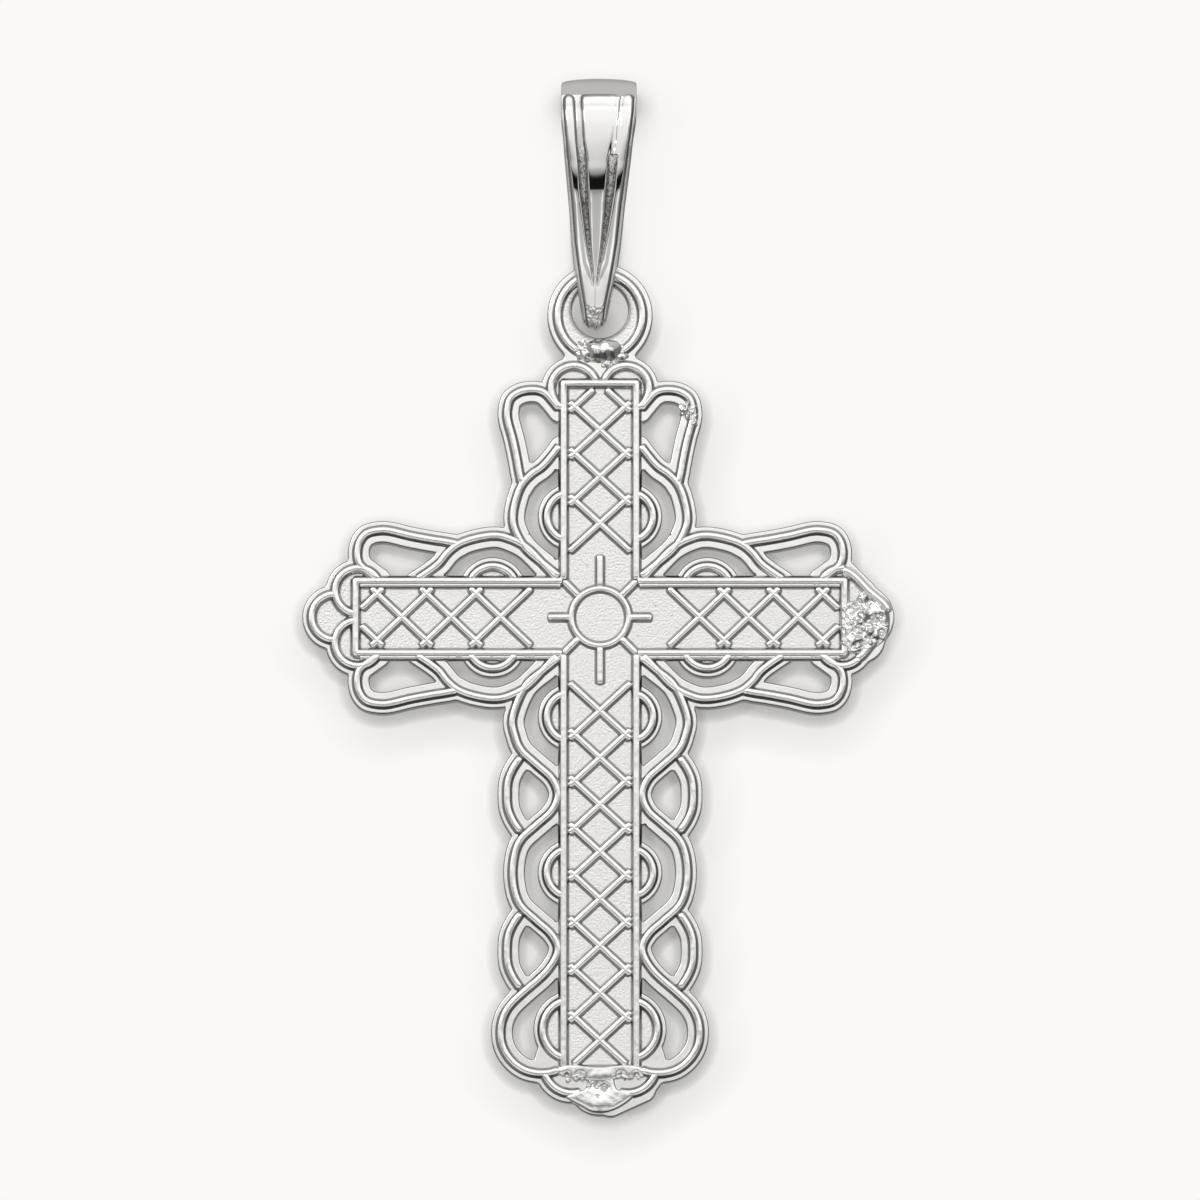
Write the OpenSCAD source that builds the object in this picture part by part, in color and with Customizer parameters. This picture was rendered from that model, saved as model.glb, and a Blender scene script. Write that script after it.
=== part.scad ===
// Cross pendant with a lace border, hanging from a tapered bail.
// The origin is the chain's seat, inside the top of the bail. +Z is up, and the face with the
// lattice looks towards -Y. Lengths are millimetres.

/* [Cross] */
// Drop from the chain's seat to the middle of the crossing
crossing_drop = 15.05; // [14.9:0.05:15.2]
// Reach of the top frame line above the crossing
top_reach = 6.75; // [6.7:0.05:6.8]
// Reach of the side frame lines from the crossing
side_reach = 7; // [6.95:0.05:7.05]
// Reach of the foot's frame line below the crossing
foot_reach = 12.95; // [12.9:0.05:13]
// Half the distance between the two frame lines of an arm
band_half = 1.04; // [1:0.01:1.08]
// Thickness of the ground plate
plate_t = 0.6; // [0.5:0.05:0.65]

/* [Rails] */
// Width of a frame or lace rail
rail_w = 0.27; // [0.2:0.01:0.3]
// Height of the rails above the ground, on both faces
rail_h = 0.18; // [0.1:0.01:0.2]
// Metal beside a rail's centre line, on the side of the openings
ledge_in = 0.35; // [0.3:0.01:0.38]
// Metal beside a rail's centre line, on the outer side
ledge_out = 0.27; // [0.24:0.01:0.3]

/* [Lattice] */
// Width of a lattice bar
lattice_w = 0.2; // [0.14:0.01:0.24]
// Height of the lattice above the ground
lattice_h = 0.13; // [0.08:0.01:0.16]
// Distance between the crosses of the upright
upright_pitch = 1.35; // [1.3:0.01:1.4]
// Distance between the crosses of the side arms
arm_pitch = 1.415; // [1.38:0.005:1.45]

/* [Eye] */
// Outer radius of the flat eye ring
eye_r = 1.51; // [1.45:0.01:1.55]
// Radius of the eye's hole
eye_hole_r = 0.81; // [0.78:0.01:0.83]

/* [Bail] */
// Inside radius of the loop at the chain's seat
seat_r = 1; // [0.9:0.05:1.05]
// Inside radius of the loop's foot, where the eye hangs
foot_r = 0.74; // [0.72:0.01:0.76]
// Metal thickness at the seat
seat_wall = 0.45; // [0.4:0.01:0.5]
// Metal thickness at the foot
foot_wall = 0.36; // [0.32:0.01:0.4]
// Width across the top
bail_top_w = 2.16; // [2:0.02:2.3]
// Width across, level with the eye's bar
bail_foot_w = 1.24; // [1.2:0.02:1.28]

/* [Hidden] */

// The eye's circles, above the middle of the crossing
EYE_Z = 8.68;
EYE_HOLE_Z = 8.84;
EYE_RAIL_R = 1.23;
EYE_RAIL_W = 0.18;
NECK_HALF_W = 0.99;
NECK_REACH = 1.08;

// The bar that hangs in the bail lies between the hole and the eye's outer edge
bar_z = (EYE_HOLE_Z + eye_hole_r + EYE_Z + eye_r) / 2;
hinge_z = bar_z - crossing_drop;

// The lace of an arm as [distance from the arm's axis, distance from the crossing], charted on
// the upright and stretched on to the side arms. The inner rail leaves the frame's corner, swings
// out round the half ring and comes back to the frame.
INNER_RAIL = [[1.15, 1.15], [1.58, 1.5], [2.13, 1.98], [2.43, 2.5], [2.5, 2.9], [2.41, 3.4],
    [2.24, 3.82], [1.97, 4.12], [1.65, 4.35], [1.38, 4.66], [1.15, 4.97]];
// The outer rail leaves the inner one and loops round the teardrop opening
OUTER_RAIL = [[2.24, 3.82], [2.32, 4.2], [2.38, 4.55], [2.5, 5.12], [2.65, 5.68], [2.66, 6],
    [2.56, 6.32], [2.28, 6.51], [1.9, 6.56], [1.6, 6.48], [1.35, 6.22], [1.16, 5.98]];
// How far the chart is stretched on to the side arms, across and along
SIDE_STRETCH = [0.94, 1.06];

// The wave on the foot arm: half of one wave, from its bulge to where it touches the frame
FIRST_BULGE = 2.87;
HALF_WAVE = 2.24;
WAVE = [[2.5, 0], [2.43, 0.57], [2.24, 0.98], [1.81, 1.38], [1.38, 1.78], [1.21, 2.24]];
// The outer rail of a leaf-shaped opening, half of it, from its middle to its tip
LEAF = [[2.66, 0], [2.63, 0.4], [2.49, 0.75], [2.26, 1.09]];
// The last loop of the foot arm, from the frame round to the frame's bottom corner
FOOT_LOOP = [[1.21, 9.6], [1.52, 10.17], [2.16, 10.75], [2.5, 11.07], [2.7, 11.35],
    [2.82, 11.7], [2.83, 12.1], [2.73, 12.44], [2.5, 12.76], [2.18, 12.99], [1.81, 13.09],
    [1.44, 13.08], [1.15, 12.99]];

// Half rings on the frame lines: [offset from the arm's axis, distance from the crossing, radius]
ARM_RING = [0.82, 2.9, 0.7];
FOOT_RINGS = [[0.82, FIRST_BULGE, 0.7], [0.82, FIRST_BULGE + 2 * HALF_WAVE, 0.7],
    [0.78, 11.84, 0.86]];
RING_LEDGE = 0.26;

// Scallops at the ends of the arms, in the same form
TOP_SCALLOP = [0.75, 6.6, 0.66];
SIDE_SCALLOP = [0.75, 6.93, 0.66];
SIDE_TIP = [0, 7.6, 0.66];
FOOT_SCALLOP = [0.8, 12.85, 0.82];
FOOT_TIP = [0, 13.5, 0.66];

// The ring in the middle of the crossing, and the rays round it
CENTRE_R = 0.835;
CENTRE_RAIL_W = 0.18;
RAY_W = 0.21;
RAY_UP = 1.78;
RAY_DOWN = 1.91;
RAY_SIDE = 1.47;

// Lattice: half the size of one cross, and the distance to the first one on each arm
CROSS_ACROSS = 0.88;
CROSS_ALONG = 0.84;
UPRIGHT_FIRST = 2.7;
ARM_FIRST = 2.845;

// Rough metal as [x, height from the crossing, sunk behind the front face, radius]
EYE_SOLDER = [[-0.35, 7.68, 0.1, 0.32], [0, 7.7, 0.05, 0.34], [0.36, 7.69, 0.1, 0.3]];
RIGHT_MELT = [[7.2, -0.55, 0.1, 0.24], [7.35, 0.3, 0.1, 0.3], [7.7, -0.2, 0.1, 0.34],
    [8, 0.25, 0.1, 0.28], [8.05, -0.3, 0.12, 0.28]];
FOOT_MELT = [[-0.7, -13.45, 0.15, 0.26], [0, -13.4, 0.12, 0.34], [0.65, -13.45, 0.15, 0.28],
    [0.1, -13.95, 0.15, 0.3]];

// Flutes of the bail: half the spread of the two grooves at their upper and lower ends
GROOVE_TOP_X = 0.5;
GROOVE_FOOT_X = 0.17;
GROOVE_W = 0.24;
GROOVE_DEPTH = 0.14;
GROOVE_FOOT_Z = -5;
GROOVE_TOP_Z = -0.3;
TIP_DROP = 1.54;
TIP_R = 0.26;

// Small values: the step that keeps two outlines apart, half the width of the gaps that the
// casting fills, the stretches between two charted points, and the sides of a round
EDGE_STEP = 0.03;
WELD = 0.04;
CURVE_STEPS = 2;
RING_FN = 20;

// A smooth line through the points, each stretch leaning on its neighbours' slopes
function at(p, i) = p[max(0, min(len(p) - 1, i))];
function blend(a, b, c, d, u) =
    0.5 * (2 * b + (c - a) * u + (2 * a - 5 * b + 4 * c - d) * u * u
        + (3 * b - a - 3 * c + d) * u * u * u);
function smooth(p) = [
    for (i = [0 : len(p) - 2], k = [0 : CURVE_STEPS - 1])
        blend(at(p, i - 1), p[i], p[i + 1], at(p, i + 2), k / CURVE_STEPS),
    p[len(p) - 1]
];
function stretch(p, by) = [for (q = p) [q.x * by.x, q.y * by.y]];
function backwards(p) = [for (i = [len(p) - 1 : -1 : 0]) p[i]];
function shifted(p, along, way) = [for (q = p) [q.x, along + way * q.y]];
function heading(p, i) = at(p, i + 1) - at(p, i - 1);
function aside(p, i, w) =
    let (h = heading(p, i)) p[i] + w * [-h.y, h.x] / norm(h);

// The inner rail of the foot arm: the corner, one and a half waves, then the loop
foot_inner_rail = concat(
    [for (i = [0 : 3]) INNER_RAIL[i]],
    shifted(WAVE, FIRST_BULGE, 1),
    [for (q = backwards(shifted(WAVE, FIRST_BULGE + 2 * HALF_WAVE, -1))) if (q.x > WAVE[5].x) q],
    [for (q = shifted(WAVE, FIRST_BULGE + 2 * HALF_WAVE, 1)) if (q.x < WAVE[0].x) q],
    [for (q = FOOT_LOOP) if (q.y > FOOT_LOOP[0].y) q]
);
leaf_rail = concat(backwards(shifted(LEAF, 0, -1)), [for (q = LEAF) if (q.y > 0) q]);

// A ribbon along a line, so wide on its left and on its right
module ribbon(line, left, right) {
    p = smooth(line);
    n = len(p) - 1;
    polygon(concat(
        [for (i = [0 : n]) aside(p, i, left)],
        [for (i = [n : -1 : 0]) aside(p, i, -right)]));
}

module disc(spot, grow = 0) {
    translate([spot.x, spot.y]) circle(spot[2] + grow, $fn = RING_FN);
}

module ring(spot, width) {
    difference() {
        disc(spot, width / 2);
        disc(spot, -width / 2);
    }
}

// The cross-shaped field inside the frame lines
module band(grow = 0) {
    half = band_half + grow;
    translate([-half, -foot_reach - grow]) square([2 * half, foot_reach + top_reach + 2 * grow]);
    translate([-side_reach - grow, -half]) square([2 * (side_reach + grow), 2 * half]);
}

module both_sides() {
    children();
    mirror([1, 0]) children();
}

// An arm is drawn pointing up, then turned to its place
module up() both_sides() children();
module down() mirror([0, 1]) both_sides() children();
module sideways() for (turn = [-90, 90]) rotate(turn) both_sides() children();

// The lace rails, so wide on each side of their lines. The rings and scallops end at the frame.
module lace(left, right) {
    up() {
        ribbon(INNER_RAIL, left, right);
        ribbon(OUTER_RAIL, left, right);
    }
    sideways() {
        ribbon(stretch(INNER_RAIL, SIDE_STRETCH), left, right);
        ribbon(stretch(OUTER_RAIL, SIDE_STRETCH), left, right);
    }
    down() {
        ribbon(foot_inner_rail, left, right);
        for (k = [1, 3]) ribbon(shifted(leaf_rail, FIRST_BULGE + k * HALF_WAVE, 1), left, right);
    }
}

side_ring = [ARM_RING.x * SIDE_STRETCH.x, ARM_RING.y * SIDE_STRETCH.y, ARM_RING[2]];

module rings_and_scallops() {
    difference() {
        union() {
            up() {
                ring(ARM_RING, rail_w);
                ring(TOP_SCALLOP, rail_w);
            }
            sideways() {
                ring(side_ring, rail_w);
                ring(SIDE_SCALLOP, rail_w);
            }
            down() {
                for (spot = FOOT_RINGS) ring(spot, rail_w);
                ring(FOOT_SCALLOP, rail_w);
            }
        }
        band();
    }
    difference() {
        union() {
            sideways() ring(SIDE_TIP, rail_w);
            down() ring(FOOT_TIP, rail_w);
        }
        band();
        sideways() disc(SIDE_SCALLOP);
        down() disc(FOOT_SCALLOP);
    }
}

module ray(way, from, to) {
    rotate(way) translate([from, -RAY_W / 2]) square([to - from, RAY_W]);
    rotate(way) translate([to, 0]) circle(RAY_W / 2, $fn = RING_FN);
}

module centre_lines() {
    ring([0, 0, CENTRE_R], CENTRE_RAIL_W);
    ray(90, CENTRE_R, RAY_UP);
    ray(-90, CENTRE_R, RAY_DOWN);
    for (way = [0, 180]) ray(way, CENTRE_R, RAY_SIDE);
    for (way = [45 : 90 : 315]) ray(way, CENTRE_R, band_half * sqrt(2));
}

module frame_line() {
    difference() {
        band(rail_w / 2);
        band(-rail_w / 2);
    }
}

// Narrow gaps and notches between the outlines are filled, as they are in cast metal
module welded() {
    offset(delta = -WELD) offset(delta = WELD) children();
}

module rail_outline() {
    welded() {
        lace(rail_w / 2, rail_w / 2);
        rings_and_scallops();
        frame_line();
    }
}

module plate_outline() {
    welded() {
        lace(ledge_in, ledge_out);
        band(rail_w / 2 + EDGE_STEP);
        up() {
            disc(ARM_RING, RING_LEDGE);
            disc(TOP_SCALLOP, ledge_out);
        }
        sideways() {
            disc(side_ring, RING_LEDGE);
            disc(SIDE_SCALLOP, ledge_out);
            disc(SIDE_TIP, ledge_out);
        }
        down() {
            for (spot = FOOT_RINGS) disc(spot, RING_LEDGE);
            disc(FOOT_SCALLOP, ledge_out);
            disc(FOOT_TIP, ledge_out);
        }
        translate([0, EYE_Z]) circle(eye_r, $fn = 2 * RING_FN);
        translate([-NECK_HALF_W, TOP_SCALLOP.y]) square([2 * NECK_HALF_W, NECK_REACH]);
    }
}

module lattice_cross(along) {
    reach = [CROSS_ACROSS, CROSS_ALONG];
    for (side = [-1, 1])
        translate([0, along]) rotate(side * atan2(reach.x, reach.y))
            square([lattice_w, 2 * norm(reach)], center = true);
}

module lattice_outline() {
    intersection() {
        union() {
            for (k = [0 : 3]) lattice_cross(UPRIGHT_FIRST + k * upright_pitch);
            for (k = [0 : 7]) lattice_cross(-UPRIGHT_FIRST - k * upright_pitch);
            for (turn = [-90, 90], k = [0 : 3])
                rotate(turn) lattice_cross(ARM_FIRST + k * arm_pitch);
        }
        band(EDGE_STEP - rail_w / 2);
    }
}

// Stands an outline up in the XZ plane, from one depth to another, with -Y towards the viewer
module stand(front, back) {
    translate([0, back, 0]) rotate([90, 0, 0]) linear_extrude(back - front) children();
}

module lumps(spots) {
    for (s = spots)
        translate([s.x, -plate_t / 2 + s.z, s.y]) sphere(s[3], $fn = 24);
}

module cross() {
    front = -plate_t / 2;
    color("silver") translate([0, 0, -crossing_drop]) difference() {
        union() {
            stand(-plate_t / 2, plate_t / 2) plate_outline();
            stand(front - rail_h, -front + rail_h) rail_outline();
            stand(front - lattice_h, 0) lattice_outline();
            stand(front - lattice_h, 0) welded() centre_lines();
            stand(front - rail_h, -front + rail_h)
                translate([0, EYE_Z]) ring([0, 0, EYE_RAIL_R], EYE_RAIL_W);
            lumps(EYE_SOLDER);
            lumps(RIGHT_MELT);
            lumps(FOOT_MELT);
        }
        translate([0, 0, EYE_HOLE_Z]) rotate([90, 0, 0])
            cylinder(h = 2 * plate_t, r = eye_hole_r, center = true, $fn = 48);
    }
}

// Two circles on the upright axis and the straight stretch that touches both
module drop_shape(top_z, top_r, low_z, low_r) {
    slope = (top_r - low_r) / (top_z - low_z);
    level = sqrt(1 - slope * slope);
    translate([0, top_z]) circle(top_r, $fn = 64);
    translate([0, low_z]) circle(low_r, $fn = 64);
    polygon([[top_r * level, top_z - top_r * slope], [-top_r * level, top_z - top_r * slope],
        [-low_r * level, low_z - low_r * slope], [low_r * level, low_z - low_r * slope]]);
}

// One V groove down the front of the bail, between two flutes
module groove(side) {
    run = GROOVE_TOP_Z - GROOVE_FOOT_Z;
    outer_top = seat_r + seat_wall;
    outer_foot = foot_r + foot_wall;
    lean = asin((outer_top - outer_foot) / (-seat_r - hinge_z));
    face_y = outer_foot / cos(lean) + (GROOVE_FOOT_Z - hinge_z) * tan(lean);
    translate([side * GROOVE_FOOT_X, -face_y, GROOVE_FOOT_Z])
        rotate([lean, side * atan2(GROOVE_TOP_X - GROOVE_FOOT_X, run), 0])
            linear_extrude(run)
                polygon([[-GROOVE_W / 2, -EDGE_STEP], [GROOVE_W / 2, -EDGE_STEP], [0, GROOVE_DEPTH]]);
}

module bail() {
    tip_z = hinge_z - TIP_DROP + TIP_R;
    top_half = bail_top_w / 2;
    foot_half = bail_foot_w / 2;
    color("gainsboro") difference() {
        intersection() {
            rotate([90, 0, 90]) translate([0, 0, -bail_top_w]) linear_extrude(2 * bail_top_w) {
                drop_shape(-seat_r, seat_r + seat_wall, hinge_z, foot_r + foot_wall);
                drop_shape(hinge_z, foot_r + foot_wall, tip_z, TIP_R);
            }
            stand(-2 * seat_r, 2 * seat_r)
                polygon(concat(
                    [[-foot_half, hinge_z], [-top_half, GROOVE_TOP_Z], [-top_half, 2 * seat_wall],
                        [top_half, 2 * seat_wall], [top_half, GROOVE_TOP_Z], [foot_half, hinge_z]],
                    [for (a = [-10 : -20 : -170]) [TIP_R * cos(a), tip_z + TIP_R * sin(a)]]));
        }
        rotate([90, 0, 90]) translate([0, 0, -2 * bail_top_w]) linear_extrude(4 * bail_top_w)
            drop_shape(-seat_r, seat_r, hinge_z, foot_r);
        for (turn = [0, 180], side = [-1, 1]) rotate(turn) groove(side);
    }
}

bail();
cross();
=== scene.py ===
import math

import bmesh
import bpy
import numpy as np
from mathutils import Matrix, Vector


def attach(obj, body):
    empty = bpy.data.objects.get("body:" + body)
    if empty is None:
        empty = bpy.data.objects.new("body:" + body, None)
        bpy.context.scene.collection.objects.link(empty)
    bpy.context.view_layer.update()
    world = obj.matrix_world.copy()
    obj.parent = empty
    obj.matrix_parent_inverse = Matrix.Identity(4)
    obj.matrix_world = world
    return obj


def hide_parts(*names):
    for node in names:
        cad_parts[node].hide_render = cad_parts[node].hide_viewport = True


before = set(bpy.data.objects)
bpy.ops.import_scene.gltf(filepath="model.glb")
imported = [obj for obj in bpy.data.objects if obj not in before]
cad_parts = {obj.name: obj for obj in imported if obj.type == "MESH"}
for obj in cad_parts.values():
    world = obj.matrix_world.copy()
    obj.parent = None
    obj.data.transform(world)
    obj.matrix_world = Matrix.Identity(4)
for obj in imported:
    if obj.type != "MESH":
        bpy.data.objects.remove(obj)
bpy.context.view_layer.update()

# Camera. The photograph is a long-lens studio picture of the hanging pendant, taken square on from
# a little below, with 34.4 mm of height and width in the frame.
MM = 0.001
VIEW_CENTRE = Vector((0, 0, -14.52)) * MM
VIEW_WIDTH = 34.4 * MM
VIEW_FROM_BELOW = math.radians(6.5)


def put_in_scene(name, data):
    """A new object for a camera, a lamp or a mesh, linked into the scene."""
    thing = bpy.data.objects.new(name, data)
    bpy.context.scene.collection.objects.link(thing)
    return thing


camera_data = bpy.data.cameras.new("studio_camera")
camera_data.lens = 400
camera_data.sensor_width = 36
camera_data.clip_start = 0.005
camera_data.clip_end = 5
camera = put_in_scene("studio_camera", camera_data)
bpy.context.scene.camera = camera
back = Vector((0, -math.cos(VIEW_FROM_BELOW), -math.sin(VIEW_FROM_BELOW)))
camera.location = VIEW_CENTRE + back * (VIEW_WIDTH * camera_data.lens / camera_data.sensor_width)
camera.rotation_mode = "QUATERNION"
camera.rotation_quaternion = (-back).to_track_quat("-Z", "Y")

# Studio. A tent of white cloth lit from above and in front, with grey gaps at its sides and a slot
# for the lens, and a pale sheet hung close behind the pendant that takes its soft shadow.
bpy.context.scene.view_settings.view_transform = "Standard"
PAPER = (0.956, 0.947, 0.915, 1)
# Brightness of the cone round the lens, of the cloth overhead and of the darkest cloth
CONE_LIGHT, ABOVE_LIGHT, LEAST_LIGHT = 1.38, 0.6, 0.07
# The slot for the lens: its height as a direction, and how it grows to the sides
SLOT_Z, SLOT_FLARE = -0.026, 0.12


def feed(tree, source, target):
    """Feeds an input socket: an output socket is linked to it, any other value is set."""
    if isinstance(source, bpy.types.NodeSocket):
        tree.links.new(source, target)
    else:
        target.default_value = source


def add_node(tree, kind, **given):
    """A shader node of a kind, with inputs fed by their names."""
    node = tree.nodes.new("ShaderNode" + kind)
    for name, source in given.items():
        feed(tree, source, node.inputs[name.replace("_", " ")])
    return node


def calculate(tree, how, *values):
    """One Math node: each value is a number or an output socket, and the result is a socket."""
    node = add_node(tree, "Math")
    node.operation = how
    for source, target in zip(values, node.inputs):
        feed(tree, source, target)
    return node.outputs[0]


def step_between(tree, value, low, high, to_low=0.0, to_high=1.0):
    """A smooth step: to_low below low, to_high above high, and a soft S between them."""
    node = add_node(tree, "MapRange", Value=value, From_Min=low, From_Max=high, To_Min=to_low,
                    To_Max=to_high)
    node.interpolation_type = "SMOOTHSTEP"
    return node.outputs["Result"]


def light_tent():
    """The tent as brightness by direction. A cone round the lens is bright, but for its lower part
    between and beside two cards and for its ends far down and far up; the cloth round it is lit
    from above, from both sides and from behind; a dark slot runs across at the lens's height."""
    world = bpy.data.worlds.new("light_tent")
    world.use_nodes = True
    tree = world.node_tree
    tree.nodes.clear()

    def do(how, *values):
        return calculate(tree, how, *values)

    def step(*values):
        return step_between(tree, *values)

    way = add_node(tree, "TexCoord").outputs["Generated"]
    x, y, z = add_node(tree, "SeparateXYZ", Vector=way).outputs
    ahead, side = do("MULTIPLY", y, -1.0), do("ABSOLUTE", x)
    cards = do("MULTIPLY", step(side, 0.08, 0.2), step(side, 0.35, 0.5, 0.45, 0))
    missing = do("MULTIPLY", do("SUBTRACT", 0.52, cards), step(z, -0.12, -0.04, 1, 0))
    for limits in ((-0.6, -0.3, 0.22, 0), (0.62, 0.8, 0, 0.6), (0.12, 0.3, 0, -0.1)):
        missing = do("ADD", missing, step(z, *limits))
    cone = do("MULTIPLY", step(ahead, 0.5, 0.7, 0, CONE_LIGHT), do("SUBTRACT", 1.0, missing))
    above = step(z, 0.15, 0.9, 0, ABOVE_LIGHT)
    left, right = step(x, -0.9, -0.1, 0.3, 0), step(x, 0.2, 0.95, 0, 0.14)
    behind = do("MULTIPLY", step(ahead, -0.68, -0.45, 0.4, 0), step(side, 0.3, 0.6, 1, 2))
    around = do("ADD", do("MAXIMUM", above, left), right)
    around = do("ADD", do("MAXIMUM", around, behind), LEAST_LIGHT)
    slot = do("ABSOLUTE", do("SUBTRACT", z, SLOT_Z))
    slot = do("MULTIPLY_ADD", do("MULTIPLY", x, x), -SLOT_FLARE, slot)
    slot = do("ADD", step(slot, 0.032, 0.062, 0.005, 0.4), step(slot, 0.055, 0.125, 0, 0.6))
    slot = do("MAXIMUM", slot, step(side, 0.55, 0.7))
    slot = do("MAXIMUM", slot, step(ahead, 0.3, 0.5, 1, 0))
    tent = add_node(tree, "Background", Strength=do("MULTIPLY", do("MAXIMUM", cone, around), slot))
    paper = add_node(tree, "Background", Color=PAPER)
    mix = add_node(tree, "MixShader", Fac=add_node(tree, "LightPath").outputs["Is Camera Ray"])
    feed(tree, tent.outputs[0], mix.inputs[1])
    feed(tree, paper.outputs[0], mix.inputs[2])
    add_node(tree, "OutputWorld", Surface=mix.outputs[0])
    return world


bpy.context.scene.world = light_tent()

# A small softbox in front, to the left and above
softbox = bpy.data.lights.new("softbox", "AREA")
softbox.shape = "RECTANGLE"
softbox.size, softbox.size_y = 0.07, 0.05
softbox.energy = 0.02
softbox_lamp = put_in_scene("softbox", softbox)
softbox_lamp.location = VIEW_CENTRE + Vector((-0.09, -0.12, 0.07))
softbox_lamp.rotation_mode = "QUATERNION"
softbox_lamp.rotation_quaternion = (VIEW_CENTRE - softbox_lamp.location).to_track_quat("-Z", "Y")

# Shades as (reach in mm, way to the light, strength, power): one close to the metal and a wide one
SHADES = ((0.68, (-0.1, -1, 0.7), 1, 1.8), (1.5, (-0.35, -0.4, 0.85), 0.5, 1))
# The bail's share of the shade, and the heights in mm between which it comes in
BAIL_SHADE, SHADE_LOW, SHADE_HIGH = 0.45, -7.2, -5.6
SHEET_BEHIND, SHEET_HALF = 0.85 * MM, 400 * MM


def hung_paper():
    """A sheet that lets the pale tent show through it and darkens it near the metal in front, but
    not on its back or where it is seen edge-on, so what swings behind it stays in sight."""
    look = bpy.data.materials.new("hung_paper")
    look.use_nodes = True
    tree = look.node_tree
    tree.nodes.clear()
    shade = 1.0
    for reach, towards, strength, power in SHADES:
        way = add_node(tree, "CombineXYZ", **dict(zip("XYZ", towards))).outputs[0]
        open_sky = add_node(tree, "AmbientOcclusion", Distance=reach * MM, Normal=way)
        open_sky.samples = 12
        part = calculate(tree, "POWER", open_sky.outputs["AO"], power)
        part = calculate(tree, "MULTIPLY_ADD", part, strength, 1 - strength)
        shade = calculate(tree, "MULTIPLY", part, shade)
    place = add_node(tree, "SeparateXYZ", Vector=add_node(tree, "TexCoord").outputs["Object"])
    share = step_between(tree, place.outputs["Z"], SHADE_LOW * MM, SHADE_HIGH * MM, 1.0, BAIL_SHADE)
    lost = calculate(tree, "MULTIPLY", calculate(tree, "SUBTRACT", 1.0, shade), share)
    shade = calculate(tree, "SUBTRACT", 1.0, lost)
    edge_on = step_between(tree, add_node(tree, "LayerWeight").outputs["Facing"], 0.82, 0.92)
    for clear in (add_node(tree, "NewGeometry").outputs["Backfacing"], edge_on):
        shade = calculate(tree, "MAXIMUM", shade, clear)
    tint = add_node(tree, "CombineColor", Red=shade, Green=shade, Blue=shade)
    paper = add_node(tree, "BsdfTransparent", Color=tint.outputs[0])
    add_node(tree, "OutputMaterial", Surface=paper.outputs[0])
    return look


sheet_mesh = bpy.data.meshes.new("paper_sheet")
sheet_mesh.from_pydata(
    [(across * SHEET_HALF, SHEET_BEHIND, up * SHEET_HALF)
     for across, up in ((-1, -1), (1, -1), (1, 1), (-1, 1))], [], [(0, 1, 2, 3)])
sheet_mesh.materials.append(hung_paper())
paper_sheet = put_in_scene("paper_sheet", sheet_mesh)
for ray in ("diffuse", "glossy", "transmission", "shadow", "volume_scatter"):
    setattr(paper_sheet, "visible_" + ray, False)

# Ground plate. The cross is one casting in silver: a plate 0.6 mm thick, pierced beside its lace,
# with flat polished ledges along the rails and a matt field that lies a little lower inside them.
CROSSING_Z = -15.05
PLATE_T = 0.6
FIELD_SUNK = 0.04
EDGE_ROUND = 0.045
# The grid that the plate is cut from, and the step by which a slope is felt
GRID, GRID_LOW, GRID_HIGH, NUDGE = 0.07, (-8.75, -14.5), (8.65, 10.35), 0.004
TOP_REACH, SIDE_REACH, FOOT_REACH, BAND_HALF = 6.75, 7.0, 12.95, 1.04
LEDGE_IN, LEDGE_OUT, RING_LEDGE, FRAME_LEDGE = 0.35, 0.27, 0.26, 0.165
EYE_Z, EYE_R, EYE_HOLE_Z, EYE_HOLE_R = 8.72, 1.51, 8.88, 0.81
NECK_HALF, NECK_LOW, NECK_HIGH, NECK_FILLET = 0.99, 6.6, 7.68, 0.16
# The soft edge of the matt places, and the size and the strength of the one in the eye
MATT_EDGE, EYE_MATT_R, EYE_MATT = 0.06, 1.08, 0.25
# Charts of the lace as (distance from the arm's axis, distance from the crossing)
INNER_RAIL = np.array([
    (1.15, 1.15), (1.58, 1.5), (2.13, 1.98), (2.43, 2.5), (2.5, 2.9), (2.41, 3.4), (2.24, 3.82),
    (1.97, 4.12), (1.65, 4.35), (1.38, 4.66), (1.15, 4.97)])
OUTER_RAIL = np.array([
    (2.24, 3.82), (2.32, 4.2), (2.38, 4.55), (2.5, 5.12), (2.65, 5.68), (2.66, 6), (2.56, 6.32),
    (2.28, 6.51), (1.9, 6.56), (1.6, 6.48), (1.35, 6.22), (1.16, 5.98)])
SIDE_STRETCH = np.array((0.94, 1.06))
BULGE, HALF_WAVE = 2.87, 2.24
WAVE = np.array([(2.5, 0), (2.43, 0.57), (2.24, 0.98), (1.81, 1.38), (1.38, 1.78), (1.21, 2.24)])
LEAF = np.array([(2.26, -1.09), (2.49, -0.75), (2.63, -0.4), (2.66, 0), (2.63, 0.4), (2.49, 0.75),
                 (2.26, 1.09)])
FOOT_LOOP = np.array([
    (1.52, 10.17), (2.16, 10.75), (2.5, 11.07), (2.7, 11.35), (2.82, 11.7), (2.83, 12.1),
    (2.73, 12.44), (2.5, 12.76), (2.18, 12.99), (1.81, 13.09), (1.44, 13.08), (1.15, 12.99)])
FOOT_INNER = np.vstack([
    INNER_RAIL[:3], WAVE + (0, BULGE), (WAVE * (1, -1) + (0, BULGE + 2 * HALF_WAVE))[-2::-1],
    (WAVE + (0, BULGE + 2 * HALF_WAVE))[1:], FOOT_LOOP])
FOOT_CHARTS = (FOOT_INNER, LEAF + (0, BULGE + HALF_WAVE), LEAF + (0, BULGE + 3 * HALF_WAVE))
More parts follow.
